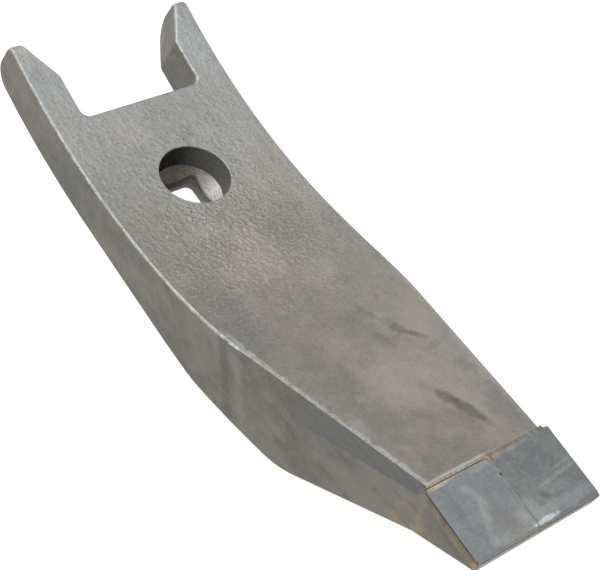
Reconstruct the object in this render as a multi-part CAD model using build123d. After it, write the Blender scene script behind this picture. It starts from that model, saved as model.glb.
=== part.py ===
from build123d import *
import math
import os

# Bolt-on point for a cultivator tine: a forged steel body with a forked upper end and one
# countersunk bolt hole, and two tungsten-carbide plates brazed side by side on its toe.
# Millimetres. The origin is on the bolt axis in the plane of the flat back face.
# +X runs down to the toe, +Y to the right-hand side, +Z out of the soil-facing front.

# Body, driving dimensions
BODY_WIDTH = 80.0            # width of the bar that the body is forged from
BODY_THICKNESS = 20.3        # bar thickness, at the hollow's lowest line
HOLLOW_X = -9.1              # lowest line of the hollow front face
HOLLOW_RADIUS = 245.0        # radius of the hollow front face
TOE_SLOPE = 17.2             # slope of the straight lower front face, degrees
LIP_X = 156.9                # step in front of the carbide plates
TOE_END_X = 185.9            # end of the steel under the plates
TOE_END_UNDERSIDE_Z = 53.9   # lower edge of that end
UNDERSIDE_SLOPE = 33.1       # slope of the toe's underside, degrees
REAR_RISE_X = 68.0           # where the back starts to rise from the mounting plane
REAR_RISE_SLOPE = 8.3        # degrees
REAR_BEND_RADIUS = 30.0
HEEL_RADIUS = 32.0

# Fork
PRONG_END_X = -74.5          # front edge of the prong ends
PRONG_HEEL_RADIUS = 8.5      # rounding at the back of the prong ends
PRONG_BROW_RADIUS = 3.5      # rounding at the front of the prong ends
FORK_DEPTH = 36.9            # along the front face, from the prong ends
FORK_HALF_WIDTH = 26.4
FORK_CORNER_RADIUS = 3.5
PRONG_CHAMFER_LENGTH = 17.2
PRONG_END_WIDTH = 4.8
PRONG_KNEE_RADIUS = 4.0      # where the chamfer meets the straight inner wall

# Narrowing towards the toe, in plan
TAPER_START_X = 37.5
TAPER_RADIUS = 425.0
TAPER_ANGLE = 10.1           # degrees each side
TOE_HALF_WIDTH = 25.2
SIDE_LEAN = 9.0              # the tapered sides lean forward below the front face, degrees

# Facet ground along each lower front edge
GRIND_WIDTH = 0.5            # off the front face, at the lip
GRIND_LIP_HEIGHT = 3.2       # down the side, at the lip
GRIND_START_X = 112.0
GRIND_START_HEIGHT = 7.0     # down the side, at the start

# Bolt hole
COUNTERBORE_RADIUS = 13.85
COUNTERBORE_FLOOR_Z = 9.0
SEAT_HALF_ANGLE = 50.0       # conical bolt seat, degrees from the axis
NECK_HALF_WIDTH = 8.1        # square hole for the bolt's neck
NECK_CORNER_RADIUS = 2.75

# Carbide plates and braze
PLATE_LENGTH = 28.3
PLATE_WIDTH = 26.8
PLATE_THICKNESS = 4.0
PLATE_TOP_Z = 61.7
PLATE_START_X = 158.4
PLATE_NOSE_RADIUS = 1.6      # front upper edge
PLATE_CORNER_RADIUS = 2.0    # outer front corner, in plan
BRAZE_THICKNESS = 0.4
CENTRE_GAP = 0.5             # between the two plates
SEAM_RECESS = 0.3            # braze seams lie this far below the surfaces beside them
FILLET_HEIGHT = 2.0          # braze fillet under each plate's overhang
FILLET_INSET = 0.4           # its outer edge lies this far inside the plate's side
FILLET_SECTION_RADIUS = 3.2  # of its hollow surface
FILLET_START_X = 161.7       # clear of the shoulder that the leaning sides make at the lip

# Edge rounding
EDGE_RADIUS = 1.0
HOLE_EDGE_RADIUS = 0.5

# Worked out from the sizes above
HALF_WIDTH = BODY_WIDTH / 2
BED_Z = PLATE_TOP_Z - PLATE_THICKNESS - BRAZE_THICKNESS
PLATE_EDGE_Y = CENTRE_GAP / 2 + PLATE_WIDTH
PRONG_SLOPE = -math.degrees(math.asin((HOLLOW_X - PRONG_END_X) / HOLLOW_RADIUS))
FORK_SQUARE_SLOPE = 0.7 * PRONG_SLOPE  # the fork's walls are square to the front face here

# Cutting shapes run past the body by this much, and edges are told apart to this closeness
CLEAR = 60.0
CLOSE = 0.1


def face_point(slope, depth=0.0):
    """Point on the hollow's arc where it has this slope in degrees, or depth below it."""
    angle = math.radians(slope)
    radius = HOLLOW_RADIUS + depth
    centre_z = BODY_THICKNESS + HOLLOW_RADIUS
    return (HOLLOW_X + radius * math.sin(angle), centre_z - radius * math.cos(angle))


def toe_face_z(x):
    """Height of the straight lower front face."""
    start_x, start_z = face_point(TOE_SLOPE)
    return start_z + (x - start_x) * math.tan(math.radians(TOE_SLOPE))


def side_profile():
    """Closed side outline of the body in the XZ plane."""
    prong_front = face_point(PRONG_SLOPE)
    prong_back = face_point(PRONG_SLOPE, BODY_THICKNESS)
    back_start = face_point(0, BODY_THICKNESS)
    rise = math.tan(math.radians(REAR_RISE_SLOPE))
    climb = math.tan(math.radians(UNDERSIDE_SLOPE))
    heel_x = (TOE_END_X * climb - TOE_END_UNDERSIDE_Z - REAR_RISE_X * rise) / (climb - rise)
    heel = (heel_x, (heel_x - REAR_RISE_X) * rise)
    with BuildSketch(Plane.XZ) as sketch:
        with BuildLine():
            ThreePointArc(prong_front, face_point(0), face_point(TOE_SLOPE))
            Line(face_point(TOE_SLOPE), (LIP_X, toe_face_z(LIP_X)))
            Polyline(
                (LIP_X, toe_face_z(LIP_X)),
                (LIP_X, BED_Z),
                (TOE_END_X, BED_Z),
                (TOE_END_X, TOE_END_UNDERSIDE_Z),
                heel,
                (REAR_RISE_X, 0),
                back_start,
            )
            ThreePointArc(back_start, face_point(PRONG_SLOPE / 2, BODY_THICKNESS), prong_back)
            Line(prong_back, prong_front)
        make_face()
        fillet(sketch.vertices().sort_by_distance((REAR_RISE_X, 0))[0], REAR_BEND_RADIUS)
        fillet(sketch.vertices().sort_by_distance(heel)[0], HEEL_RADIUS)
        fillet(sketch.vertices().sort_by_distance(prong_back)[0], PRONG_HEEL_RADIUS)
        fillet(sketch.vertices().sort_by_distance(prong_front)[0], PRONG_BROW_RADIUS)
    return sketch.sketch


def plan_envelope():
    """Prism of the body's plan outline, its tapered sides leaning forward below the face."""
    angle = math.radians(TAPER_ANGLE)
    arc_x = TAPER_START_X + TAPER_RADIUS * math.sin(angle)
    arc_y = HALF_WIDTH - TAPER_RADIUS * (1 - math.cos(angle))
    middle = math.radians(TAPER_ANGLE / 2)
    middle_x = TAPER_START_X + TAPER_RADIUS * math.sin(middle)
    middle_y = HALF_WIDTH - TAPER_RADIUS * (1 - math.cos(middle))
    end_x = arc_x + (arc_y - TOE_HALF_WIDTH) / math.tan(angle)
    upper_x = PRONG_END_X - CLEAR
    lower_x = TOE_END_X + CLEAR
    top_z = toe_face_z(LIP_X)
    with BuildSketch(Plane.XY.offset(top_z)) as sketch:
        with BuildLine():
            Polyline((upper_x, 0), (upper_x, HALF_WIDTH), (TAPER_START_X, HALF_WIDTH))
            ThreePointArc((TAPER_START_X, HALF_WIDTH), (middle_x, middle_y), (arc_x, arc_y))
            Polyline((arc_x, arc_y), (end_x, TOE_HALF_WIDTH), (lower_x, TOE_HALF_WIDTH), (lower_x, 0))
            Line((lower_x, 0), (upper_x, 0))
        make_face()
        mirror(about=Plane.XZ)
    lean = math.radians(SIDE_LEAN)
    down = Vector(math.sin(lean), 0, -math.cos(lean))
    below = extrude(sketch.sketch, amount=top_z + CLEAR, dir=down)
    return below + extrude(sketch.sketch, amount=CLEAR, dir=-down)


def fork_slot():
    """Prism that opens the fork, square to the front face at the middle of the prongs."""
    x, z = face_point(FORK_SQUARE_SLOPE)
    lean = math.radians(FORK_SQUARE_SLOPE)
    plane = Plane(
        origin=(x, 0, z),
        x_dir=(math.cos(lean), 0, math.sin(lean)),
        z_dir=(-math.sin(lean), 0, math.cos(lean)),
    )
    end_u = -math.radians(FORK_SQUARE_SLOPE - PRONG_SLOPE) * HOLLOW_RADIUS
    spread = (HALF_WIDTH - PRONG_END_WIDTH - FORK_HALF_WIDTH) / PRONG_CHAMFER_LENGTH
    mouth_half_width = FORK_HALF_WIDTH + spread * (PRONG_CHAMFER_LENGTH + CLEAR)
    corner = (end_u + FORK_DEPTH, FORK_HALF_WIDTH)
    knee = (end_u + PRONG_CHAMFER_LENGTH, FORK_HALF_WIDTH)
    with BuildSketch(plane) as sketch:
        with BuildLine():
            Polyline(
                (end_u - CLEAR, 0),
                (end_u - CLEAR, mouth_half_width),
                knee,
                corner,
                (end_u + FORK_DEPTH, 0),
                close=True,
            )
        make_face()
        fillet(sketch.vertices().sort_by_distance(corner)[0], FORK_CORNER_RADIUS)
        fillet(sketch.vertices().sort_by_distance(knee)[0], PRONG_KNEE_RADIUS)
        mirror(about=Plane.XZ)
    return extrude(sketch.sketch, amount=CLEAR, both=True)


def bolt_hole():
    """Counterbore, conical seat and square neck hole as one cutting tool."""
    seat_depth = (COUNTERBORE_RADIUS - NECK_HALF_WIDTH) / math.tan(math.radians(SEAT_HALF_ANGLE))
    upwards = (Align.CENTER, Align.CENTER, Align.MIN)
    downwards = (Align.CENTER, Align.CENTER, Align.MAX)
    bore = Cylinder(COUNTERBORE_RADIUS, CLEAR, align=upwards)
    seat = Cone(NECK_HALF_WIDTH, COUNTERBORE_RADIUS, seat_depth, align=downwards)
    square = RectangleRounded(2 * NECK_HALF_WIDTH, 2 * NECK_HALF_WIDTH, NECK_CORNER_RADIUS)
    neck = Pos(0, 0, -CLEAR) * extrude(square, CLEAR + COUNTERBORE_FLOOR_Z)
    return Pos(0, 0, COUNTERBORE_FLOOR_Z) * (bore + seat) + neck


def grind_tool():
    """Wedge whose inner face grinds the +Y lower front edge, from the bend to the lip."""
    slope = math.radians(TOE_SLOPE)
    angle = math.radians(TAPER_ANGLE)
    along = Vector(math.cos(slope), -math.sin(angle), math.sin(slope))
    lip = Vector(LIP_X, TOE_HALF_WIDTH, toe_face_z(LIP_X))
    start = lip + along * ((GRIND_START_X - LIP_X) / along.X)
    lip_foot = lip - Vector(0, 0, GRIND_LIP_HEIGHT)
    start_foot = start - Vector(0, 0, GRIND_START_HEIGHT)
    normal = (lip_foot - start_foot).cross(lip - Vector(0, GRIND_WIDTH, 0) - lip_foot)
    plane = Plane(origin=lip_foot, x_dir=start_foot - lip_foot, z_dir=normal * -1)
    block = plane * Box(4 * CLEAR, CLEAR, CLEAR, align=(Align.CENTER, Align.CENTER, Align.MIN))
    before_lip = Box(4 * CLEAR, CLEAR, 4 * CLEAR, align=(Align.MAX, Align.MIN, Align.CENTER))
    return block & Pos((LIP_X, 0, 0)) * before_lip


def outline_edges(body):
    """The long edges of both sides and the edges round the fork, at the front and the back."""
    chosen = []
    for edge in body.edges():
        middle = edge @ 0.5
        across = abs((edge % 0.5).Y) > math.sqrt(0.5)
        at_fork_bottom = abs(middle.X - PRONG_END_X - FORK_DEPTH) < 2 * FORK_CORNER_RADIUS
        on_bed = middle.X > LIP_X and middle.Z > BED_Z - CLOSE
        if not on_bed and (at_fork_bottom or not across):
            chosen.append(edge)
    return chosen


def point_body():
    """Forged steel body."""
    body = extrude(side_profile(), amount=HALF_WIDTH + CLEAR, both=True) & plan_envelope()
    body -= fork_slot()
    body = fillet(outline_edges(body), EDGE_RADIUS)
    body -= grind_tool() + mirror(grind_tool(), about=Plane.XZ)
    body -= bolt_hole()
    rim = body.edges().filter_by(
        lambda edge: abs(math.hypot((edge @ 0).X, (edge @ 0).Y) - COUNTERBORE_RADIUS) < CLOSE
        and (edge @ 0).Z > COUNTERBORE_FLOOR_Z + CLOSE
    )
    return fillet(rim, HOLE_EDGE_RADIUS)


def carbide_plate(side):
    """One carbide plate, 1 for the +Y one or -1 for the -Y one."""
    end_x = PLATE_START_X + PLATE_LENGTH
    bottom_z = PLATE_TOP_Z - PLATE_THICKNESS
    inner_y = side * CENTRE_GAP / 2
    outer_y = side * PLATE_EDGE_Y
    nose = (end_x, PLATE_TOP_Z)
    with BuildSketch(Plane.XZ) as profile:
        with BuildLine():
            back = (PLATE_START_X, PLATE_TOP_Z)
            Polyline((PLATE_START_X, bottom_z), (end_x, bottom_z), nose, back, close=True)
        make_face()
        fillet(profile.vertices().sort_by_distance(nose)[0], PLATE_NOSE_RADIUS)
    outer_corner = (end_x, outer_y)
    with BuildSketch(Plane.XY.offset(bottom_z)) as plan:
        with BuildLine():
            back = (PLATE_START_X, outer_y)
            Polyline((PLATE_START_X, inner_y), (end_x, inner_y), outer_corner, back, close=True)
        make_face()
        fillet(plan.vertices().sort_by_distance(outer_corner)[0], PLATE_CORNER_RADIUS)
    return extrude(profile.sketch, amount=CLEAR, both=True) & extrude(plan.sketch, PLATE_THICKNESS)


def braze_bed(side):
    """Braze layer between the steel bed and one plate."""
    length = TOE_END_X - PLATE_START_X
    width = TOE_HALF_WIDTH - CENTRE_GAP / 2
    align = (Align.MIN, Align.MIN if side > 0 else Align.MAX, Align.MIN)
    layer = Box(length, width, BRAZE_THICKNESS, align=align)
    return Pos((PLATE_START_X, side * CENTRE_GAP / 2, BED_Z)) * layer


def braze_centre_seam():
    """Braze that fills the gap between the two plates, a little below their tops."""
    align = (Align.MIN, Align.CENTER, Align.MIN)
    height = PLATE_TOP_Z - SEAM_RECESS - BED_Z
    seam = Box(TOE_END_X - PLATE_START_X, CENTRE_GAP, height, align=align)
    return Pos((PLATE_START_X, 0, BED_Z)) * seam


def braze_step_bead():
    """Braze between the lip of the steel and the upper edges of the plates."""
    align = (Align.MIN, Align.CENTER, Align.MIN)
    height = toe_face_z(LIP_X) - SEAM_RECESS - BED_Z
    bead = Box(PLATE_START_X - LIP_X, 2 * TOE_HALF_WIDTH, height, align=align)
    return Pos((LIP_X, 0, BED_Z)) * bead


def braze_fillet(side):
    """Braze fillet in the corner under one plate's outer overhang."""
    corner = (TOE_HALF_WIDTH, PLATE_TOP_Z - PLATE_THICKNESS)
    outer = (PLATE_EDGE_Y - FILLET_INSET, corner[1])
    foot = (TOE_HALF_WIDTH, corner[1] - FILLET_HEIGHT)
    with BuildSketch(Plane.YZ.offset(FILLET_START_X)) as sketch:
        with BuildLine():
            Line(foot, corner)
            Line(corner, outer)
            RadiusArc(outer, foot, FILLET_SECTION_RADIUS)
        make_face()
    solid = extrude(sketch.sketch, amount=TOE_END_X - FILLET_START_X)
    return solid if side > 0 else mirror(solid, about=Plane.XZ)


PARTS = {
    "point_body": point_body(),
    "braze_centre_seam": braze_centre_seam(),
    "braze_step_bead": braze_step_bead(),
}
for side, hand in ((-1, "left"), (1, "right")):
    PARTS[f"carbide_plate_{hand}"] = carbide_plate(side)
    PARTS[f"braze_bed_{hand}"] = braze_bed(side)
    PARTS[f"braze_fillet_{hand}"] = braze_fillet(side)

os.makedirs("parts", exist_ok=True)
for name, solid in PARTS.items():
    solid.label = name
    export_step(solid, f"parts/{name}.step")
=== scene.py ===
"""Looks, floor, lights and camera for the cultivator point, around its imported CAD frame.

Blender's units are metres. Materials work in millimetres: each one starts from the object's own
coordinates times 1000, so a noise scale of 0.5 gives spots of about 2 mm.
"""

import math

import bmesh
import bpy
from mathutils import Matrix, Vector, noise


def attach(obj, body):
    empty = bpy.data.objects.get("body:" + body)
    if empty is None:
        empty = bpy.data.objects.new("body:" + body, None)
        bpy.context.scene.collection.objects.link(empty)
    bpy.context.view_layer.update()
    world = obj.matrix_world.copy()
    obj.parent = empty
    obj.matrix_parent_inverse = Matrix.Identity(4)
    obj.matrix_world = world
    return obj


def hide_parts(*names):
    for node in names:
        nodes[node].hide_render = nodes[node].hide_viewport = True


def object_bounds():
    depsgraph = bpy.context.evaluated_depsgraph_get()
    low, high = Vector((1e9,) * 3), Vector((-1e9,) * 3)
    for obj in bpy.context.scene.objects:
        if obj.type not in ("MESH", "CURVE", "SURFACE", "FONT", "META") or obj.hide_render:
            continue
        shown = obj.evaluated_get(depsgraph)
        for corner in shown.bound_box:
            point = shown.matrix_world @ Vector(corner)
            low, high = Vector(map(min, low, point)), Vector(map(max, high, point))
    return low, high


MM = 0.001

# Places repeated from the CAD source, in millimetres
LIP_X = 156.9                # step in front of the carbide plates
LIP_Z = 60.2                 # top of the lip
PLATE_START_X = 158.4
PLATE_END_X = 186.7
PLATE_TOP_Z = 61.7
PLATE_BOTTOM_Z = 57.7
PLATE_EDGE_Y = 27.05
PLATE_NOSE_RADIUS = 1.6
CENTRE_GAP = 0.5
TOE_END_X = 185.9            # end of the steel under the plates
TOE_HALF_WIDTH = 25.2
HALF_WIDTH = 40.0            # of the upper body
TAPER_START_X = 37.5
TAPER_RADIUS = 425.0         # the sides narrow along a curve, then straight
TAPER_STRAIGHT_X = 112.0
TAPER_ANGLE = 10.1           # degrees
BED_Z = 57.3
GRIND_START_X = 112.0        # facets ground along the lower front edges
BORE_RADIUS = 13.85          # counterbore of the bolt hole
BORE_FLOOR_Z = 9.0           # where the conical seat begins

# Camera, in millimetres: where it stands and its own right and up directions
CAMERA_PLACE = (252.1, -283.3, 442.5)
CAMERA_RIGHT = (0.5510, 0.7827, 0.2896)
CAMERA_UP = (-0.7565, 0.3219, 0.5693)
CAMERA_LENS = 90.0
SENSOR_WIDTH = 36.0

# Softboxes: name, direction from the part, distance and size in metres, watts
SOFTBOXES = (
    ("overhead", (-0.1, 0.15, 1), 1.4, 1.6, 11.5),
    ("key", (-0.6, -0.35, 0.72), 0.9, 0.35, 3.8),
    ("left_softbox", (-0.45, -0.75, 0.5), 1.2, 0.5, 1.5),
    ("toe_card", (0.8, 0.5, 0.4), 1.2, 0.4, 1.5),
)
WORLD_COLOUR = (0.95, 0.97, 1.0, 1)
WORLD_STRENGTH = 0.25
FLOOR_HALF_SIZE = 6.0        # metres
FLOOR_DROP = 0.0002          # below the part, metres
FLOOR_SHADES = ((0.42, 0.42, 0.42), (0.46, 0.46, 0.46))
FLOOR_GLOW = 0.85

SEED = 7
BEAD_STEP = 0.2              # between a bead's sections, in millimetres


# ---------------------------------------------------------------- material building blocks


class Recipe:
    """One material's node tree, with short calls for the nodes used here."""

    def __init__(self, name):
        self.material = bpy.data.materials.new(name)
        self.material.use_nodes = True
        self.nodes = self.material.node_tree.nodes
        self.links = self.material.node_tree.links
        self.shader = self.nodes["Principled BSDF"]
        coordinates = self.nodes.new("ShaderNodeTexCoord")
        self.metres = coordinates.outputs["Object"]
        self.mm = self.stretched(1000, 1000, 1000)
        self.x, self.y, self.z = self.split(self.mm)
        geometry = self.nodes.new("ShaderNodeNewGeometry")
        self.normal = self.split(geometry.outputs["Normal"])
        self.beside = self.math("ABSOLUTE", self.y)
        self.sideways = self.math("ABSOLUTE", self.normal[1])
        self.ragged = self.times(self.math("SUBTRACT", self.noise(0.14, 4, 0.6), 0.5), 2.4)

    def feed(self, socket, value):
        if isinstance(value, bpy.types.NodeSocket):
            self.links.new(value, socket)
        else:
            socket.default_value = value

    def stretched(self, x, y, z):
        """The object's coordinates, each axis multiplied by its own factor."""
        node = self.nodes.new("ShaderNodeVectorMath")
        node.operation = "MULTIPLY"
        self.feed(node.inputs[0], self.metres)
        node.inputs[1].default_value = (x, y, z)
        return node.outputs[0]

    def split(self, vector):
        node = self.nodes.new("ShaderNodeSeparateXYZ")
        self.feed(node.inputs[0], vector)
        return tuple(node.outputs)

    def math(self, operation, a, b=0.0):
        node = self.nodes.new("ShaderNodeMath")
        node.operation = operation
        self.feed(node.inputs[0], a)
        self.feed(node.inputs[1], b)
        return node.outputs[0]

    def add(self, a, b):
        return self.math("ADD", a, b)

    def times(self, a, b):
        return self.math("MULTIPLY", a, b)

    def ramp(self, value, low, high, start=0.0, end=1.0):
        """Smooth step of value: start at low, end at high."""
        node = self.nodes.new("ShaderNodeMapRange")
        node.interpolation_type = "SMOOTHSTEP"
        self.feed(node.inputs["Value"], value)
        if low > high:
            low, high, start, end = high, low, end, start
        for name, number in (
            ("From Min", low),
            ("From Max", high),
            ("To Min", start),
            ("To Max", end),
        ):
            node.inputs[name].default_value = number
        return node.outputs["Result"]

    def noise(self, scale, detail=3.0, roughness=0.5, where=None):
        node = self.nodes.new("ShaderNodeTexNoise")
        self.feed(node.inputs["Vector"], where or self.mm)
        node.inputs["Scale"].default_value = scale
        node.inputs["Detail"].default_value = detail
        node.inputs["Roughness"].default_value = roughness
        return node.outputs["Fac"]

    def pits(self, scale):
        """Distance to the nearest of many scattered points."""
        node = self.nodes.new("ShaderNodeTexVoronoi")
        self.feed(node.inputs["Vector"], self.mm)
        node.inputs["Scale"].default_value = scale
        return node.outputs["Distance"]

    def mix(self, factor, a, b):
        """Colour a, with colour b over it by factor."""
        node = self.nodes.new("ShaderNodeMix")
        node.data_type = "RGBA"
        self.feed(node.inputs["Factor"], factor)
        sockets = [s for s in node.inputs if s.type == "RGBA"]
        for socket, value in zip(sockets, (a, b)):
            self.feed(socket, (*value, 1.0) if isinstance(value, tuple) else value)
        return [s for s in node.outputs if s.type == "RGBA"][0]

    def spot(self, x, y, length, width, angle=0.0, strength=1.0):
        """Strength in an oval patch, seen from above, fading out past its ragged edge."""
        cos, sin = math.cos(math.radians(angle)), math.sin(math.radians(angle))
        dx = self.math("SUBTRACT", self.x, x)
        dy = self.math("SUBTRACT", self.y, y)
        along = self.times(self.add(self.times(dx, cos), self.times(dy, sin)), 2 / length)
        across = self.times(self.add(self.times(dy, cos), self.times(dx, -sin)), 2 / width)
        reach = self.math("SQRT", self.add(self.times(along, along), self.times(across, across)))
        return self.ramp(self.add(reach, self.ragged), 1.4, 0.4, 0, strength)

    def bump(self, height, depth_mm, before=None):
        node = self.nodes.new("ShaderNodeBump")
        node.inputs["Strength"].default_value = 1.0
        node.inputs["Distance"].default_value = depth_mm * MM
        self.feed(node.inputs["Height"], height)
        if before is not None:
            self.feed(node.inputs["Normal"], before)
        return node.outputs["Normal"]

    def sharp_edges(self, width_mm):
        """1 within about this width of a sharp edge, fading to 0 on open faces."""
        bevel = self.nodes.new("ShaderNodeBevel")
        bevel.samples = 8
        bevel.inputs["Radius"].default_value = width_mm * MM
        geometry = self.nodes.new("ShaderNodeNewGeometry")
        dot = self.nodes.new("ShaderNodeVectorMath")
        dot.operation = "DOT_PRODUCT"
        self.feed(dot.inputs[0], bevel.outputs["Normal"])
        self.feed(dot.inputs[1], geometry.outputs["True Normal"])
        return self.ramp(self.math("SUBTRACT", 1.0, dot.outputs["Value"]), 0.02, 0.25)

    def finish(self, colour, roughness, metallic, normal=None):
        self.feed(self.shader.inputs["Base Color"], colour)
        self.feed(self.shader.inputs["Roughness"], roughness)
        self.feed(self.shader.inputs["Metallic"], metallic)
        if normal is not None:
            self.feed(self.shader.inputs["Normal"], normal)
        return self.material


# ---------------------------------------------------------------- materials


# Colours as linear red, green and blue. A name that ends in SHADES holds two of them, which are
# mixed by noise or by place.
FRONT_SHADES = ((0.31, 0.325, 0.318), (0.278, 0.252, 0.21))    # fork end, toe end
GROUND_SHADES = ((0.088, 0.092, 0.086), (0.165, 0.168, 0.158))
BARE_STEEL_HIGHLIGHT = (0.5, 0.505, 0.485)
RUST = (0.3, 0.19, 0.08)
PEBBLE_GLINT = (0.47, 0.43, 0.34)
PALE_END = (0.4, 0.4, 0.385)
WARM = (0.36, 0.325, 0.27)
DULL = (0.23, 0.22, 0.195)
SHEEN = (0.46, 0.45, 0.41)
MOTTLE = (0.17, 0.16, 0.14)
STREAK = (0.2, 0.185, 0.155)
PINKISH = (0.36, 0.295, 0.25)
PAINTED_LEFT_SHADE = (0.14, 0.145, 0.142)
SPARKLE = (0.56, 0.56, 0.53)
DARK_GRAIN = (0.13, 0.13, 0.12)

SHADED_SCALE_SHADES = ((0.117, 0.113, 0.094), (0.148, 0.142, 0.12))
SCALE_LIGHT = (0.19, 0.172, 0.13)
SCALE_DARK = (0.108, 0.107, 0.093)
SCALE_FORK = (0.085, 0.082, 0.068)
SCALE_TOE = (0.215, 0.198, 0.165)
PAINTED_CREASE_SHADE = (0.08, 0.08, 0.07)
CREASE_HIGHLIGHT = (0.23, 0.215, 0.18)
SHADE_UNDER_PLATES = (0.135, 0.122, 0.092)
YELLOWISH = (0.2, 0.185, 0.13)
BLACKENED = (0.075, 0.07, 0.06)
ORANGE_RUST = (0.31, 0.215, 0.11)
SIDE_GRAIN = (0.4, 0.39, 0.36)

BORE_LIGHTING_SHADES = ((0.004, 0.004, 0.002), (0.2, 0.2, 0.18))        # left, right
BORE_OLIVE = (0.05, 0.043, 0.015)
BORE_DIRT = (0.03, 0.03, 0.025)
BORE_GRAIN = (0.42, 0.42, 0.39)
NECK_STEEL = (0.22, 0.22, 0.19)
SEAT_LIGHTING_SHADES = ((0.2, 0.195, 0.145), (0.74, 0.7, 0.64))         # left, right
SEAT_BROWN = (0.4, 0.29, 0.2)
SEAT_STREAK = (0.07, 0.065, 0.048)
SEAT_RING = (0.19, 0.16, 0.13)
SEAT_STAIN = (0.3, 0.26, 0.2)
SEAT_RIM_SHADE = (0.045, 0.037, 0.025)

# The crease where each side starts to narrow, and the step below the plates, run up the side
# faces: each is where x plus its slope times z reaches the value given
CREASE_X = 90.0
CREASE_SLOPE = 0.53
UNDER_PLATES_X = 171.2
UNDER_PLATES_SLOPE = 0.2

# Ovals seen from above: x, y, length and width in mm
PEBBLED_PATCH = (34, 0, 84, 62)
POLISHED_HIGHLIGHT_PATCH = (184.6, 4.8, 1.6, 12)

DARK_STAIN = (0.11, 0.1, 0.085)
PALE_BLUE = (0.4, 0.43, 0.44)
TAN = (0.37, 0.33, 0.275)
OLIVE = (0.25, 0.24, 0.19)
UMBER = (0.2, 0.175, 0.145)
SLATE = (0.19, 0.186, 0.177)

# Stains and patches on the front face: x, y, length, width in mm, angle, strength, colour
FRONT_PATCHES = (
    (118, -1, 30, 26, 0, 0.75, TAN),
    (124, 15, 34, 14, 10, 0.6, TAN),
    (96, 27, 22, 12, -10, 0.6, TAN),
    (35, 0, 16, 14, 0, 0.45, TAN),
    (46, -4, 26, 20, 0, 0.6, TAN),
    (-28, -14, 18, 16, 0, 0.5, TAN),
    (-54, 34, 22, 14, 0, 0.6, PALE_BLUE),
    (106, -19, 30, 12, 10, 0.5, SLATE),
    (128, -20, 42, 14, 11, 0.55, SLATE),
    (150, -8, 14, 26, 0, 0.45, SLATE),
    (60, -27, 50, 13, -5, 0.45, SLATE),
    (40, 16, 26, 16, 0, 0.35, SLATE),
    (92, 6, 22, 18, 0, 0.5, SLATE),
    (146, 22, 24, 12, -10, 0.55, SLATE),
    (100, 9, 9, 6, 20, 0.6, UMBER),
    (140, 3, 22, 10, 60, 0.35, UMBER),
    (62, 24, 22, 12, 20, 0.4, OLIVE),
    (28, 22, 16, 9, 30, 0.5, OLIVE),
    (24, -26, 46, 12, 0, 0.4, OLIVE),
    (99, 17, 8, 4, 30, 0.5, DARK_STAIN),
    (104, 20.5, 10, 3, 37, 0.6, DARK_STAIN),
    (132, 8.2, 10, 4.5, 15, 0.65, DARK_STAIN),
    (141, 10.9, 15, 4, 15, 0.7, DARK_STAIN),
)


def forged_steel():
    """Shot-blasted forging: cool and grainy at the fork, warmer, smoother and stained at the toe."""
    r = Recipe("forged_steel")
    mottle = r.noise(0.16, 4, 0.6)
    grain = r.noise(1.1, 3, 0.65)
    colour = front_colour(r, mottle, grain)
    pebbles = r.times(r.ramp(r.noise(0.6, 1, 0.5), 0.42, 0.62), r.spot(*PEBBLED_PATCH))
    # painted glints: the tops of the pebbles lighter and yellowish
    colour = r.mix(r.ramp(pebbles, 0.5, 1, 0, 0.25), colour, PEBBLE_GLINT)
    # the side faces take a darker colour: forging scale, and partly painted shade
    colour = r.mix(r.ramp(r.sideways, 0.6, 0.9), colour, side_scale_and_shade(r, mottle, grain))
    ground = ground_facet(r)
    scratches = r.noise(1.0, 2, 0.5, where=r.stretched(60, 900, 900))
    colour = r.mix(ground, colour, r.mix(scratches, *GROUND_SHADES))
    # worn edges lighter, with painted highlights along them
    wear_and_highlight = worn_edges_and_highlights(r)
    colour = r.mix(r.times(wear_and_highlight, 0.85), colour, BARE_STEEL_HIGHLIGHT)

    bore, seat = bolt_hole_masks(r)
    rings = turned_rings(r)
    colour = r.mix(bore, colour, bore_colour(r, grain))
    colour = r.mix(seat, colour, seat_colour(r, mottle, grain, rings))

    inside_hole = r.math("MAXIMUM", bore, seat)
    blasted = r.times(r.ramp(r.x, -20, 110, 1.0, 0.3), r.ramp(inside_hole, 0, 0.5, 1, 0))
    dents = r.add(r.times(r.pits(0.62), 0.8), r.noise(0.4, 2, 0.5))
    normal = r.bump(r.times(dents, blasted), 0.22)
    normal = r.bump(r.times(pebbles, blasted), 0.28, before=normal)
    normal = r.bump(r.noise(2.2, 2, 0.5), 0.04, before=normal)
    normal = r.bump(r.noise(0.05, 2, 0.5), 0.9, before=normal)
    normal = r.bump(r.times(rings, seat), 0.03, before=normal)

    roughness = r.add(r.ramp(grain, 0.3, 0.7, 0.46, 0.62), r.times(seat, -0.1))
    metallic = r.add(0.45, r.times(inside_hole, -0.2))
    r.feed(r.shader.inputs["Specular IOR Level"], r.ramp(bore, 0, 1, 0.5, 0.1))
    return r.finish(colour, roughness, metallic, normal)


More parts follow.
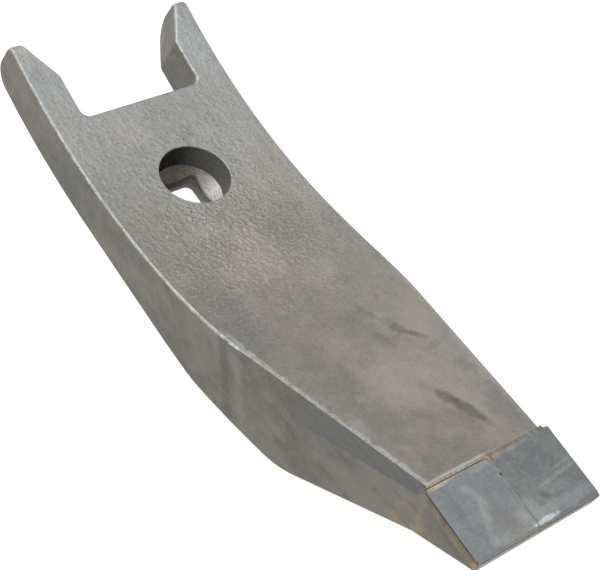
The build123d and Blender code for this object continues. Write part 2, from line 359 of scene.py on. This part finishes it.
def front_colour(r, mottle, grain):
    """Colour of the front, back and ends."""
    streaks = r.noise(1.0, 3, 0.6, where=r.stretched(25, 260, 260))
    colour = r.mix(r.ramp(r.x, -45, 55), *FRONT_SHADES)
    left_end = r.times(r.ramp(r.x, -58, -74), r.ramp(r.y, 10, -10))
    colour = r.mix(left_end, colour, PALE_END)
    broad = r.noise(0.035, 3, 0.55)
    warm = r.times(r.ramp(broad, 0.48, 0.66), r.ramp(r.x, -30, 30, 0.25, 0.7))
    colour = r.mix(warm, colour, WARM)
    colour = r.mix(r.ramp(broad, 0.46, 0.32, 0, 0.5), colour, DULL)
    # painted sheen: the front lighter towards +y
    colour = r.mix(r.ramp(r.y, -10, 36, 0, 0.22), colour, SHEEN)
    colour = r.mix(r.ramp(mottle, 0.5, 0.78, 0, 0.35), colour, MOTTLE)
    colour = r.mix(r.ramp(streaks, 0.45, 0.8, 0, 0.3), colour, STREAK)
    patchy = r.noise(0.085, 4, 0.6)
    towards_toe = r.ramp(r.x, 40, 110)
    colour = r.mix(r.times(r.ramp(patchy, 0.52, 0.66, 0, 0.5), towards_toe), colour, PINKISH)
    colour = r.mix(r.times(r.ramp(patchy, 0.47, 0.36, 0, 0.5), towards_toe), colour, SLATE)
    # painted shade: the front darker towards its left edge, less so at the fork
    shaded_left = r.times(r.ramp(r.y, -15, -36, 0, 0.38), r.ramp(r.x, 104, 84))
    colour = r.mix(r.times(shaded_left, r.ramp(r.x, -50, 20)), colour, PAINTED_LEFT_SHADE)
    facing = r.ramp(r.normal[2], 0.1, 0.4)
    for x, y, length, width, angle, strength, shade in FRONT_PATCHES:
        patch = r.spot(x, y, length, width, angle, strength)
        colour = r.mix(r.times(patch, facing), colour, shade)
    # painted glints: scattered bright grains, fewer towards the toe
    sparkle = r.times(r.ramp(grain, 0.42, 0.72), r.ramp(r.x, 20, 110, 0.32, 0.13))
    colour = r.mix(sparkle, colour, SPARKLE)
    dark_grain = r.times(r.ramp(grain, 0.48, 0.3), r.ramp(r.x, -40, 120, 0.2, 0.12))
    colour = r.mix(dark_grain, colour, DARK_GRAIN)
    rust = r.ramp(r.noise(0.11, 4, 0.6, where=r.stretched(900, 1100, 800)), 0.66, 0.8, 0, 0.4)
    return r.mix(rust, colour, RUST)


def side_scale_and_shade(r, mottle, grain):
    """Colour of the side faces: more of their forging scale, and darker as painted shade."""
    broad = r.noise(0.045, 3, 0.55, where=r.stretched(600, 1000, 1500))
    colour = r.mix(r.ramp(mottle, 0.35, 0.7), *SHADED_SCALE_SHADES)
    colour = r.mix(r.ramp(broad, 0.46, 0.66, 0, 0.6), colour, SCALE_LIGHT)
    colour = r.mix(r.ramp(broad, 0.44, 0.3, 0, 0.5), colour, SCALE_DARK)
    colour = r.mix(r.ramp(r.x, 70, -70, 0, 0.4), colour, SCALE_FORK)
    colour = r.mix(r.ramp(r.x, 122, 150, 0, 0.55), colour, SCALE_TOE)
    past_crease = r.add(r.add(r.times(r.z, CREASE_SLOPE), r.x), -CREASE_X)
    # painted shade along the crease where the side starts to narrow, and a painted highlight just past
    # it
    crease_shade = r.times(r.ramp(past_crease, -4, -1), r.ramp(past_crease, 4, 0.5))
    colour = r.mix(r.times(crease_shade, 0.65), colour, PAINTED_CREASE_SHADE)
    crease_highlight = r.times(r.ramp(past_crease, 4, 7), r.ramp(past_crease, 12, 8))
    colour = r.mix(r.times(crease_highlight, 0.35), colour, CREASE_HIGHLIGHT)
    past_step = r.add(r.add(r.times(r.z, UNDER_PLATES_SLOPE), r.x), -UNDER_PLATES_X)
    # painted shade: the side darker past the step below the plates
    colour = r.mix(r.ramp(past_step, 0, 1, 0, 0.75), colour, SHADE_UNDER_PLATES)
    blotches = r.noise(0.1, 4, 0.6, where=r.stretched(700, 1000, 1400))
    colour = r.mix(r.ramp(blotches, 0.53, 0.68, 0, 0.45), colour, YELLOWISH)
    colour = r.mix(r.ramp(blotches, 0.46, 0.34, 0, 0.4), colour, BLACKENED)
    low_rust = r.times(r.ramp(r.x, 146, 158), r.ramp(r.z, 52, 44))
    rust = r.times(low_rust, r.ramp(r.noise(0.2, 3, 0.6), 0.45, 0.62, 0, 0.5))
    colour = r.mix(rust, colour, ORANGE_RUST)
    return r.mix(r.ramp(grain, 0.5, 0.75, 0, 0.25), colour, SIDE_GRAIN)


def ground_facet(r):
    """1 on the facets ground along the two lower front edges, found by the way they face."""
    faces_up = r.ramp(r.normal[2], 0.05, 0.1)
    in_place = r.times(r.ramp(r.x, GRIND_START_X - 6, GRIND_START_X + 6), r.ramp(r.z, 30, 32))
    return r.times(r.times(faces_up, in_place), r.ramp(r.sideways, 0.6, 0.9))


def worn_edges_and_highlights(r):
    """1 where the scale is worn through, and on painted highlights: rounded long edges, lower front
    edges, lip and corners.
    """
    breaks = r.noise(0.3, 4, 0.65)
    rounding = r.times(r.ramp(r.sideways, 0.1, 0.3), r.ramp(r.sideways, 0.98, 0.93))
    rounding = r.times(rounding, r.ramp(r.normal[2], 0.12, 0.3))
    past_edge = r.add(r.beside, narrowing(r))
    past_edge = r.add(past_edge, r.times(r.math("SUBTRACT", breaks, 0.5), 4.0))
    lower = r.ramp(past_edge, HALF_WIDTH - 3.1, HALF_WIDTH - 2.1)
    lower = r.times(lower, r.ramp(r.normal[2], 0.3, 0.5))
    lower = r.times(lower, r.ramp(r.x, 66, 82))
    # painted highlight: the lower front edge band weaker on the right side
    lower = r.times(lower, r.ramp(r.y, -5, 5, 1.0, 0.3))
    at_lip = r.times(r.ramp(r.x, LIP_X - 1.3, LIP_X - 0.6), r.ramp(r.normal[2], 0.5, 0.8))
    # painted highlight: the lip's ridge brighter on the left half
    at_lip = r.times(at_lip, r.ramp(r.y, 4, -3, 0.1, 1.0))
    at_lip = r.times(at_lip, r.ramp(r.z, BED_Z + 1, BED_Z + 2))
    found = r.math("MAXIMUM", rounding, lower)
    grains = r.noise(0.9, 3, 0.65)
    found = r.times(found, r.ramp(breaks, 0.3, 0.55, 0.35, 1.0))
    found = r.times(found, r.ramp(grains, 0.35, 0.6, 0.45, 1.0))
    found = r.math("MAXIMUM", found, r.times(at_lip, r.ramp(breaks, 0.3, 0.5, 0.6, 1.0)))
    outside_hole = r.ramp(reach_from_axis(r), BORE_RADIUS, BORE_RADIUS + 0.5)
    found = r.times(found, outside_hole)
    sharp = r.times(r.sharp_edges(0.8), r.ramp(breaks, 0.35, 0.6, 0, 0.6))
    return r.math("MAXIMUM", found, r.times(sharp, outside_hole))


def narrowing(r):
    """How far each side has come in from the full half width, curved at first and then straight."""
    curved = r.math("MAXIMUM", r.add(r.x, -TAPER_START_X), 0)
    curved = r.math("MINIMUM", curved, TAPER_STRAIGHT_X - TAPER_START_X)
    straight = r.math("MAXIMUM", r.add(r.x, -TAPER_STRAIGHT_X), 0)
    curved = r.times(r.times(curved, curved), 0.5 / TAPER_RADIUS)
    return r.add(curved, r.times(straight, math.tan(math.radians(TAPER_ANGLE))))


def bore_colour(r, grain):
    """Colour of the counterbore's wall and the neck hole, in painted shade: black on the left, grey on
    the right.
    """
    # painted shade: the bore black on the left, grey towards the right, with bright grains only there
    lit_right = r.ramp(r.add(r.y, r.times(r.x, 0.3)), -5, 11)
    colour = r.mix(lit_right, *BORE_LIGHTING_SHADES)
    colour = r.mix(r.ramp(r.beside, 5, 1, 0, 0.5), colour, BORE_OLIVE)
    colour = r.mix(r.ramp(grain, 0.35, 0.7, 0, 0.5), colour, BORE_DIRT)
    bright_grains = r.times(r.ramp(grain, 0.52, 0.66, 0, 0.5), lit_right)
    colour = r.mix(bright_grains, colour, BORE_GRAIN)
    neck = r.ramp(r.z, BORE_FLOOR_Z - 5.5, BORE_FLOOR_Z - 8.5, 0, 0.6)
    return r.mix(neck, colour, NECK_STEEL)


def seat_colour(r, mottle, grain, rings):
    """Colour of the conical seat, with painted light and shade: dull left, brown middle, bright right,
    dark round the neck.
    """
    across = r.add(r.y, r.x)
    # painted light and shade: the seat dull on the left, bright on the right
    colour = r.mix(r.ramp(across, -9, 3), *SEAT_LIGHTING_SHADES)
    brown = r.times(r.ramp(across, -10, -5), r.ramp(across, 4, -1, 0, 0.6))
    colour = r.mix(brown, colour, SEAT_BROWN)
    streaked = r.times(r.ramp(grain, 0.45, 0.6, 0, 0.7), r.ramp(across, 2, -6, 0.15, 1.0))
    colour = r.mix(streaked, colour, SEAT_STREAK)
    colour = r.mix(r.times(rings, 0.45), colour, SEAT_RING)
    colour = r.mix(r.ramp(mottle, 0.45, 0.7, 0, 0.3), colour, SEAT_STAIN)
    # A rounded square: constant x^6 + y^6 follows the neck hole's flats and corners
    sixths = r.add(r.math("POWER", r.math("ABSOLUTE", r.x), 6), r.math("POWER", r.beside, 6))
    off_neck = r.math("POWER", sixths, 1 / 6)
    # painted shade: darker round the neck hole
    return r.mix(r.ramp(off_neck, 9.6, 8.4, 0, 0.9), colour, SEAT_RIM_SHADE)


def reach_from_axis(r):
    """Distance from the bolt hole's axis."""
    return r.math("SQRT", r.add(r.times(r.x, r.x), r.times(r.y, r.y)))


def bolt_hole_masks(r):
    """1 on the counterbore's wall and the neck hole, and 1 on the conical seat."""
    inside = r.ramp(reach_from_axis(r), BORE_RADIUS + 0.3, BORE_RADIUS + 0.05)
    upright = r.ramp(r.math("ABSOLUTE", r.normal[2]), 0.3, 0.2)
    conical = r.times(r.ramp(r.normal[2], 0.45, 0.6), r.ramp(r.z, BORE_FLOOR_Z + 0.3, BORE_FLOOR_Z))
    return r.times(inside, upright), r.times(inside, conical)


def turned_rings(r):
    """Fine circular tool marks round the hole's axis."""
    wobble = r.times(r.noise(0.35, 4, 0.65), 3.0)
    wave = r.math("SINE", r.times(r.add(reach_from_axis(r), wobble), 6.5))
    return r.add(r.times(wave, 0.45), 0.5)


CARBIDE_LIGHT = (0.36, 0.375, 0.375)
CARBIDE_DARK = (0.1, 0.105, 0.105)
CARBIDE_BLUE = (0.27, 0.3, 0.31)
STRIP_SHADES = ((0.18, 0.155, 0.115), (0.33, 0.29, 0.23))      # the plates' front ends
NOSE_LIGHT = (0.36, 0.38, 0.37)
NOSE_LINE = (0.09, 0.08, 0.065)
PLATE_SIDE_SHADE = (0.1, 0.092, 0.07)
WORN_CARBIDE_HIGHLIGHT = (0.5, 0.53, 0.53)
PALE = (0.34, 0.355, 0.34)
DARK = (0.125, 0.132, 0.13)
BROWNISH = (0.21, 0.2, 0.165)
CREAM = (0.46, 0.4, 0.27)
POLISHED_HIGHLIGHT = (0.8, 0.88, 0.9)
LEFT_CARBIDE_SHADES = ((0.18, 0.198, 0.207), (0.225, 0.243, 0.248))
RIGHT_CARBIDE_SHADES = ((0.148, 0.16, 0.16), (0.205, 0.217, 0.217))
# Smears on each plate's top: x, y, length, width in mm, angle, strength, colour
LEFT_MARKS = (
    (164.5, -14, 6, 4.5, 50, 0.5, PALE),
    (168, -12.6, 9, 3.6, 15, 0.45, PALE),
    (172.5, -13.4, 9, 3.4, -15, 0.5, PALE),
    (177, -15.4, 8, 3.4, -25, 0.4, PALE),
    (181.6, -17, 7, 4, -15, 0.4, PALE),
    (183.5, -10, 5, 16, 0, 0.35, PALE),
    (175.5, -9.5, 11, 7.5, 0, 0.5, BROWNISH),
    (181, -7, 6, 9, 0, 0.45, BROWNISH),
    (180.5, -2, 8, 5, 30, 0.55, PALE),
    (168, -22, 14, 4, 0, 0.35, DARK),
    (158.8, -24.2, 1.9, 4.5, 0, 0.85, CREAM),
    (158.9, -20.5, 1.4, 5, 0, 0.75, CREAM),
    (158.7, -15.5, 1.0, 7, 0, 0.55, CREAM),
    (159.6, -5, 2.6, 10, 0, 0.45, PALE),
)
RIGHT_MARKS = (
    (177.9, 9.3, 4.5, 3, 30, 0.6, DARK),
    (160.8, 6.2, 5, 3, 20, 0.5, DARK),
    (166, 15, 14, 12, 0, 0.35, DARK),
    (173.6, 20, 1.3, 20, 5, 0.35, PALE),
    (171.2, 22, 1.0, 14, 5, 0.3, PALE),
    (176.5, 14, 4, 14, -15, 0.25, PALE),
    (182.6, 18, 6, 16, 0, 0.6, CARBIDE_BLUE),
    (179.5, 2.5, 8, 6, 0, 0.55, PALE),
    (182.5, 7, 5, 12, 0, 0.45, PALE),
    (171, 4, 14, 3, 0, 0.4, BROWNISH),
    (159.2, 9, 1.5, 7, 0, 0.5, PALE),
    (159.0, 15, 1.3, 6, 0, 0.45, PALE),
    (159.0, 3, 1.6, 3, 0, 0.4, CREAM),
)


def tungsten_carbide(name, shades, marks):
    """Satin blue-grey sintered carbide, with smears of flux, grinding marks, a polished nose and
    painted light and shade.
    """
    r = Recipe(name)
    clouds = r.noise(0.16, 5, 0.65)
    fine = r.noise(1.4, 3, 0.6)
    colour = r.mix(r.ramp(clouds, 0.32, 0.68), *shades)
    streaks = r.noise(1.0, 3, 0.6, where=r.stretched(260, 1100, 500))
    colour = r.mix(r.ramp(streaks, 0.5, 0.75, 0, 0.3), colour, DARK)
    for x, y, length, width, angle, strength, shade in marks:
        colour = r.mix(r.spot(x, y, length, width, angle, strength), colour, shade)
    grain = r.noise(0.7, 4, 0.7)
    colour = r.mix(r.ramp(grain, 0.5, 0.75, 0, 0.3), colour, CARBIDE_LIGHT)
    colour = r.mix(r.ramp(grain, 0.5, 0.3, 0, 0.3), colour, CARBIDE_DARK)

    polish_and_highlight = r.times(r.spot(*POLISHED_HIGHLIGHT_PATCH), r.ramp(r.normal[0], 0.72, 0.6))
    polish_and_highlight = r.times(polish_and_highlight, r.ramp(grain, 0.35, 0.55, 0.3, 1.0))
    # painted highlight on the polished nose
    colour = r.mix(r.times(polish_and_highlight, 0.5), colour, POLISHED_HIGHLIGHT)
    front = r.mix(r.ramp(clouds, 0.3, 0.7), *STRIP_SHADES)
    colour = r.mix(r.ramp(r.normal[0], 0.66, 0.78), colour, front)
    # painted light: the rounded front nose lighter, as bright as the top
    lit_nose = r.times(r.ramp(r.normal[0], 0.2, 0.4), r.ramp(r.normal[0], 0.6, 0.55))
    colour = r.mix(r.times(lit_nose, 0.45), colour, NOSE_LIGHT)
    edge_line = r.times(r.ramp(r.normal[0], 0.55, 0.6), r.ramp(r.normal[0], 0.74, 0.68))
    colour = r.mix(r.times(edge_line, 0.6), colour, NOSE_LINE)
    # painted shade: the plates' sides dark
    colour = r.mix(r.ramp(r.sideways, 0.7, 0.9), colour, PLATE_SIDE_SHADE)
    # sharp edges lighter: wear, and partly painted highlight
    edge_wear_and_highlight = r.times(r.sharp_edges(0.35), r.ramp(clouds, 0.4, 0.6, 0.1, 0.5))
    colour = r.mix(edge_wear_and_highlight, colour, WORN_CARBIDE_HIGHLIGHT)

    scratches = r.noise(1.0, 2, 0.5, where=r.stretched(120, 1500, 1500))
    normal = r.bump(fine, 0.02)
    normal = r.bump(scratches, 0.02, before=normal)
    normal = r.bump(clouds, 0.12, before=normal)
    roughness = r.add(r.ramp(clouds, 0.3, 0.7, 0.36, 0.48), r.times(polish_and_highlight, -0.12))
    return r.finish(colour, roughness, 0.4, normal)


BRAZE_SHADES = ((0.115, 0.1, 0.064), (0.19, 0.16, 0.1))
LIP_SHADES = ((0.4, 0.35, 0.25), (0.27, 0.19, 0.11))           # left, right
LIP_OLIVE = (0.26, 0.23, 0.145)
LIP_STEEL = (0.26, 0.24, 0.2)
BEAD_GAP_SHADE = (0.05, 0.04, 0.028)
SEAM_SHADES = ((0.3, 0.26, 0.17), (0.27, 0.275, 0.255))        # at the lip, farther on
SEAM_DARK = (0.17, 0.155, 0.12)
SEAM_GREY = (0.215, 0.228, 0.23)
TIP_RED = (0.24, 0.165, 0.1)
PLATE_TOP_SHADE = (0.045, 0.042, 0.03)
CORNER_TAN = (0.3, 0.245, 0.17)
BRAZE_GRAIN = (0.08, 0.07, 0.055)


def braze():
    """Copper-alloy braze: browned by the heat, paler in the seam, tan to orange at the lip."""
    r = Recipe("braze")
    clouds = r.noise(0.35, 4, 0.6)
    fine = r.noise(1.6, 3, 0.6)
    colour = r.mix(r.ramp(clouds, 0.35, 0.65), *BRAZE_SHADES)
    at_lip = r.ramp(r.x, PLATE_START_X + 0.5, PLATE_START_X - 0.1)
    at_lip = r.times(at_lip, r.ramp(r.beside, TOE_HALF_WIDTH + 0.1, TOE_HALF_WIDTH - 0.4))
    lip_colour = r.mix(r.ramp(r.y, -3, 2), *LIP_SHADES)
    # painted shade in the gap where the bead meets the left plate
    beside_plate = r.times(r.ramp(r.x, LIP_X + 0.65, LIP_X + 0.85), r.ramp(r.y, -1, -3))
    lip_colour = r.mix(r.times(beside_plate, 0.75), lip_colour, BEAD_GAP_SHADE)
    lip_colour = r.mix(r.ramp(r.y, 12, 20), lip_colour, LIP_OLIVE)
    beside_lip = r.times(r.ramp(r.x, LIP_X + 0.8, LIP_X + 0.3), r.ramp(r.y, -1, 3))
    lip_colour = r.mix(r.times(beside_lip, 0.8), lip_colour, LIP_STEEL)
    colour = r.mix(at_lip, colour, lip_colour)
    in_seam = r.ramp(r.x, PLATE_START_X - 0.2, PLATE_START_X + 0.4)
    in_seam = r.times(r.ramp(r.beside, 2.5, 2.0), in_seam)
    seam_colour = r.mix(r.ramp(r.x, 160, 172), *SEAM_SHADES)
    seam_colour = r.mix(r.ramp(clouds, 0.5, 0.65, 0, 0.6), seam_colour, SEAM_DARK)
    seam_colour = r.mix(r.ramp(r.x, 174, 181), seam_colour, SEAM_GREY)
    colour = r.mix(in_seam, colour, seam_colour)
    towards_tip = r.times(r.ramp(r.x, 172, 185), r.ramp(r.beside, 25.5, 26))
    towards_tip = r.times(towards_tip, r.ramp(clouds, 0.35, 0.6, 0, 0.8))
    colour = r.mix(towards_tip, colour, TIP_RED)
    # painted shade: the side runs dark just under the plates' top edge, less towards the front end
    near_top = r.ramp(r.z, PLATE_TOP_Z - 1.1, PLATE_TOP_Z - 0.7)
    shaded_top = r.times(r.ramp(r.beside, 26.6, 27.0), near_top)
    shaded_top = r.times(shaded_top, r.ramp(r.x, 184.5, 181.5, 0.1, 0.6))
    colour = r.mix(shaded_top, colour, PLATE_TOP_SHADE)
    at_corner = r.times(r.ramp(r.x, 184.6, 185.6, 0, 0.7), r.ramp(r.beside, 25.5, 26))
    colour = r.mix(at_corner, colour, CORNER_TAN)
    colour = r.mix(r.ramp(fine, 0.5, 0.75, 0, 0.3), colour, BRAZE_GRAIN)
    normal = r.bump(fine, 0.1)
    return r.finish(colour, r.ramp(fine, 0.3, 0.7, 0.42, 0.6), 0.5, normal)


def pale_floor():
    """White studio floor that glows a little, so that shadows on it stay faint."""
    r = Recipe("pale_floor")
    tone = r.noise(0.004, 2, 0.5)
    colour = r.mix(tone, *FLOOR_SHADES)
    r.shader.inputs["Emission Color"].default_value = (1, 1, 1, 1)
    r.shader.inputs["Emission Strength"].default_value = FLOOR_GLOW
    return r.finish(colour, r.ramp(tone, 0, 1, 0.7, 0.8), 0.0)


# ---------------------------------------------------------------- stage, lights and camera


def add_floor(centre):
    size = FLOOR_HALF_SIZE
    mesh = bpy.data.meshes.new("floor")
    corners = [(-size, -size, 0), (size, -size, 0), (size, size, 0), (-size, size, 0)]
    mesh.from_pydata([(centre.x + x, centre.y + y, z) for x, y, z in corners], [], [(0, 1, 2, 3)])
    mesh.materials.append(pale_floor())
    floor = bpy.data.objects.new("floor", mesh)
    bpy.context.scene.collection.objects.link(floor)
    floor.location.z = -FLOOR_DROP


def add_softbox(name, target, direction, distance, size, watts):
    """A square area light that stands off from target in this direction and faces it."""
    light = bpy.data.lights.new(name, "AREA")
    light.shape = "SQUARE"
    light.size = size
    light.energy = watts
    lamp = bpy.data.objects.new(name, light)
    bpy.context.scene.collection.objects.link(lamp)
    away = Vector(direction).normalized()
    lamp.location = target + away * distance
    lamp.rotation_mode = "QUATERNION"
    lamp.rotation_quaternion = (-away).to_track_quat("-Z", "Y")


def add_world():
    world = bpy.data.worlds.new("studio")
    world.use_nodes = True
    background = world.node_tree.nodes["Background"]
    background.inputs["Color"].default_value = WORLD_COLOUR
    background.inputs["Strength"].default_value = WORLD_STRENGTH
    bpy.context.scene.world = world


def add_camera():
    camera = bpy.data.objects.new("camera", bpy.data.cameras.new("camera"))
    camera.data.lens = CAMERA_LENS
    camera.data.sensor_width = SENSOR_WIDTH
    camera.data.clip_start = 0.01
    right = Vector(CAMERA_RIGHT).normalized()
    up = (Vector(CAMERA_UP) - right * right.dot(Vector(CAMERA_UP))).normalized()
    turn = Matrix((right, up, right.cross(up))).transposed().to_4x4()
    camera.matrix_world = Matrix.Translation(Vector(CAMERA_PLACE) * MM) @ turn
    bpy.context.scene.collection.objects.link(camera)
    bpy.context.scene.camera = camera


# ---------------------------------------------------------------- braze beads, in millimetres


def ripple(position, pitch, height, seed):
    """Smooth seeded variation along a bead, between minus and plus height."""
    return height * noise.noise(Vector((position / pitch, SEED * seed, 0.5)))


def blend(value, low, high, start, end):
    """Start up to low, end from high on, and a smooth step between."""
    share = min(max((value - low) / (high - low), 0.0), 1.0)
    return start + (end - start) * share * share * (3 - 2 * share)


def bulge(position, centre, width):
    """1 at the centre, falling to 0 over about this width each side."""
    return math.exp(-(((position - centre) / width) ** 2))


def cut_corners(outline, rounds=2):
    """Closed outline with its corners cut again and again, so that it turns smoothly."""
    for _ in range(rounds):
        pairs = zip(outline, outline[1:] + outline[:1])
        outline = [a.lerp(b, share) for a, b in pairs for share in (0.25, 0.75)]
    return outline


def swept_bead(name, start, end, step, section):
    """Closed mesh along a bead. section(t) gives its closed outline at t, from start to end."""
    count = round((end - start) / step)
    mesh = bmesh.new()
    rings = []
    for i in range(count + 1):
        outline = cut_corners(section(start + (end - start) * i / count))
        rings.append([mesh.verts.new(point * MM) for point in outline])
    for before, after in zip(rings, rings[1:]):
        for k in range(len(before)):
            mesh.faces.new((before[k - 1], before[k], after[k], after[k - 1]))
    mesh.faces.new(rings[0])
    mesh.faces.new(rings[-1])
    bmesh.ops.recalc_face_normals(mesh, faces=mesh.faces)
    for face in mesh.faces:
        face.smooth = len(face.verts) == 4
    data = bpy.data.meshes.new(name)
    mesh.to_mesh(data)
    mesh.free()
    bead = bpy.data.objects.new(name, data)
    bpy.context.scene.collection.objects.link(bead)
    return bead


def lip_section(y):
    """Bead between the lip and the plates: short of the plate on the left, full on the right."""
    start = LIP_X - 0.15
    end = blend(y, -3, 3, PLATE_START_X - 0.3, PLATE_START_X + 0.2) + ripple(y, 1.7, 0.12, 1)
    top = blend(y, -3, 3, LIP_Z + 0.05, LIP_Z + 0.25) + ripple(y, 1.2, 0.16, 3)
    outline = ((0, BED_Z), (0, top - 0.2), (0.25, top), (0.75, top), (1, top - 0.2), (1, BED_Z))
    return [Vector((start + share * (end - start), y, z)) for share, z in outline]


def seam_section(x):
    """Gap between the plates and a thin film over it, with a blob at the lip and one pinhole."""
    blob = bulge(x, PLATE_START_X + 0.3, 1.3)
    half = CENTRE_GAP / 2 + blend(x, 164, 180, 0.1, 0.06) + ripple(x, 0.9, 0.05, 4) + 1.0 * blob
    top = PLATE_TOP_Z + blend(x, 168, 182, 0.07, 0.02) + ripple(x, 1.4, 0.03, 5) + 0.3 * blob
    top -= 1.0 * bulge(x, 165.1, 0.4)
    into_nose = max(x - (PLATE_END_X - PLATE_NOSE_RADIUS), 0.0)
    top -= PLATE_NOSE_RADIUS - math.sqrt(PLATE_NOSE_RADIUS**2 - into_nose**2)
    rim = min(top, PLATE_TOP_Z) - 0.12
    gap = CENTRE_GAP / 2
    half_outline = [(gap, BED_Z), (gap, rim - 0.2), (half, rim), (half * 0.6, top)]
    right = [Vector((x, y, z)) for y, z in half_outline]
    left = [Vector((x, -y, z)) for y, z in reversed(half_outline)]
    return right + left


def side_section(side):
    """Outline of the run that covers one plate's outer side and the corner under its overhang."""

    def section(x):
        seed = 10 + side
        reach = blend(x, LIP_X, PLATE_START_X + 0.4, TOE_HALF_WIDTH + 0.1, PLATE_EDGE_Y)
        swell = 0.3 + ripple(x, 4.0, 0.14, seed) + 0.25 * bulge(x, TOE_END_X, 2.0)
        top = blend(x, LIP_X, PLATE_START_X + 0.8, LIP_Z - 0.3, PLATE_TOP_Z - 0.35)
        top += ripple(x, 1.8, 0.16, seed + 3)
        foot = 55.6 + ripple(x, 3.5, 0.9, seed + 5) + 1.6 * (1 - blend(x, 158, 163, 0.0, 1.0))
        steel = TOE_HALF_WIDTH - 0.1
        outline = (
            (reach - 0.1, top),
            (reach + 0.12, top - 0.1),
            (reach + swell, top - 1.2),
            (reach + swell, PLATE_BOTTOM_Z + 0.5),
            (reach - 0.5, PLATE_BOTTOM_Z - 0.7),
            (steel + 0.3, foot),
            (steel, foot - 0.1),
            (steel, PLATE_BOTTOM_Z - 0.2),
            (reach - 0.1, PLATE_BOTTOM_Z + 0.1),
        )
        return [Vector((x, side * y, z)) for y, z in outline]

    return section


def front_section(y):
    """Run along the end of the steel, under the plates' front edge."""
    swell = 0.35 + ripple(y, 2.5, 0.2, 20)
    foot = BED_Z - 0.8 + ripple(y, 2.2, 0.35, 21)
    outline = (
        (TOE_END_X - 0.1, PLATE_BOTTOM_Z),
        (TOE_END_X + swell, PLATE_BOTTOM_Z),
        (TOE_END_X + swell * 0.8, BED_Z - 0.1),
        (TOE_END_X + 0.08, foot),
        (TOE_END_X - 0.1, foot),
    )
    return [Vector((x, y, z)) for x, z in outline]


def add_braze_beads(material):
    """Irregular braze in place of the CAD model's even beads and fillets."""
    inside = TOE_HALF_WIDTH - 0.1
    lip_end = TOE_HALF_WIDTH + 0.8
    runs = (
        ("braze_lip_run", "braze_step_bead", -lip_end, lip_end, lip_section),
        ("braze_seam_run", "braze_centre_seam", PLATE_START_X - 0.6, PLATE_END_X - 0.15, seam_section),
        ("braze_side_run_left", "braze_fillet_left", LIP_X + 0.1, TOE_END_X + 0.5, side_section(-1)),
        ("braze_side_run_right", "braze_fillet_right", LIP_X + 0.1, TOE_END_X + 0.5, side_section(1)),
        ("braze_front_run", None, -inside, inside, front_section),
    )
    for name, node, start, end, section in runs:
        bead = swept_bead(name, start, end, BEAD_STEP, section)
        bead.data.materials.append(material)
        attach(bead, "root")
        if node:
            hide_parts(node)


# ---------------------------------------------------------------- the scene


def paint(node, material):
    node.data.materials.clear()
    node.data.materials.append(material)


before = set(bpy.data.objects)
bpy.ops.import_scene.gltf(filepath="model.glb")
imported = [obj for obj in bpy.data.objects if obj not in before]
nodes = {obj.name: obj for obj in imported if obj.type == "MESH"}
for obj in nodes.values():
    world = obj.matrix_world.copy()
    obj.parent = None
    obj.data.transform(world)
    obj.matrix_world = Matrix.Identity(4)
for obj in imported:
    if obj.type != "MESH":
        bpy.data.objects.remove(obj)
cad_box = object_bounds()

paint(nodes["point_body"], forged_steel())
left_carbide = tungsten_carbide("carbide_left", LEFT_CARBIDE_SHADES, LEFT_MARKS)
right_carbide = tungsten_carbide("carbide_right", RIGHT_CARBIDE_SHADES, RIGHT_MARKS)
paint(nodes["carbide_plate_left"], left_carbide)
paint(nodes["carbide_plate_right"], right_carbide)
braze_material = braze()
for name, node in nodes.items():
    if name.startswith("braze"):
        paint(node, braze_material)
add_braze_beads(braze_material)

centre = (cad_box[0] + cad_box[1]) / 2
add_floor(centre)
for name, direction, distance, size, watts in SOFTBOXES:
    add_softbox(name, centre, direction, distance, size, watts)
add_world()
add_camera()
bpy.context.scene.view_settings.view_transform = "Standard"
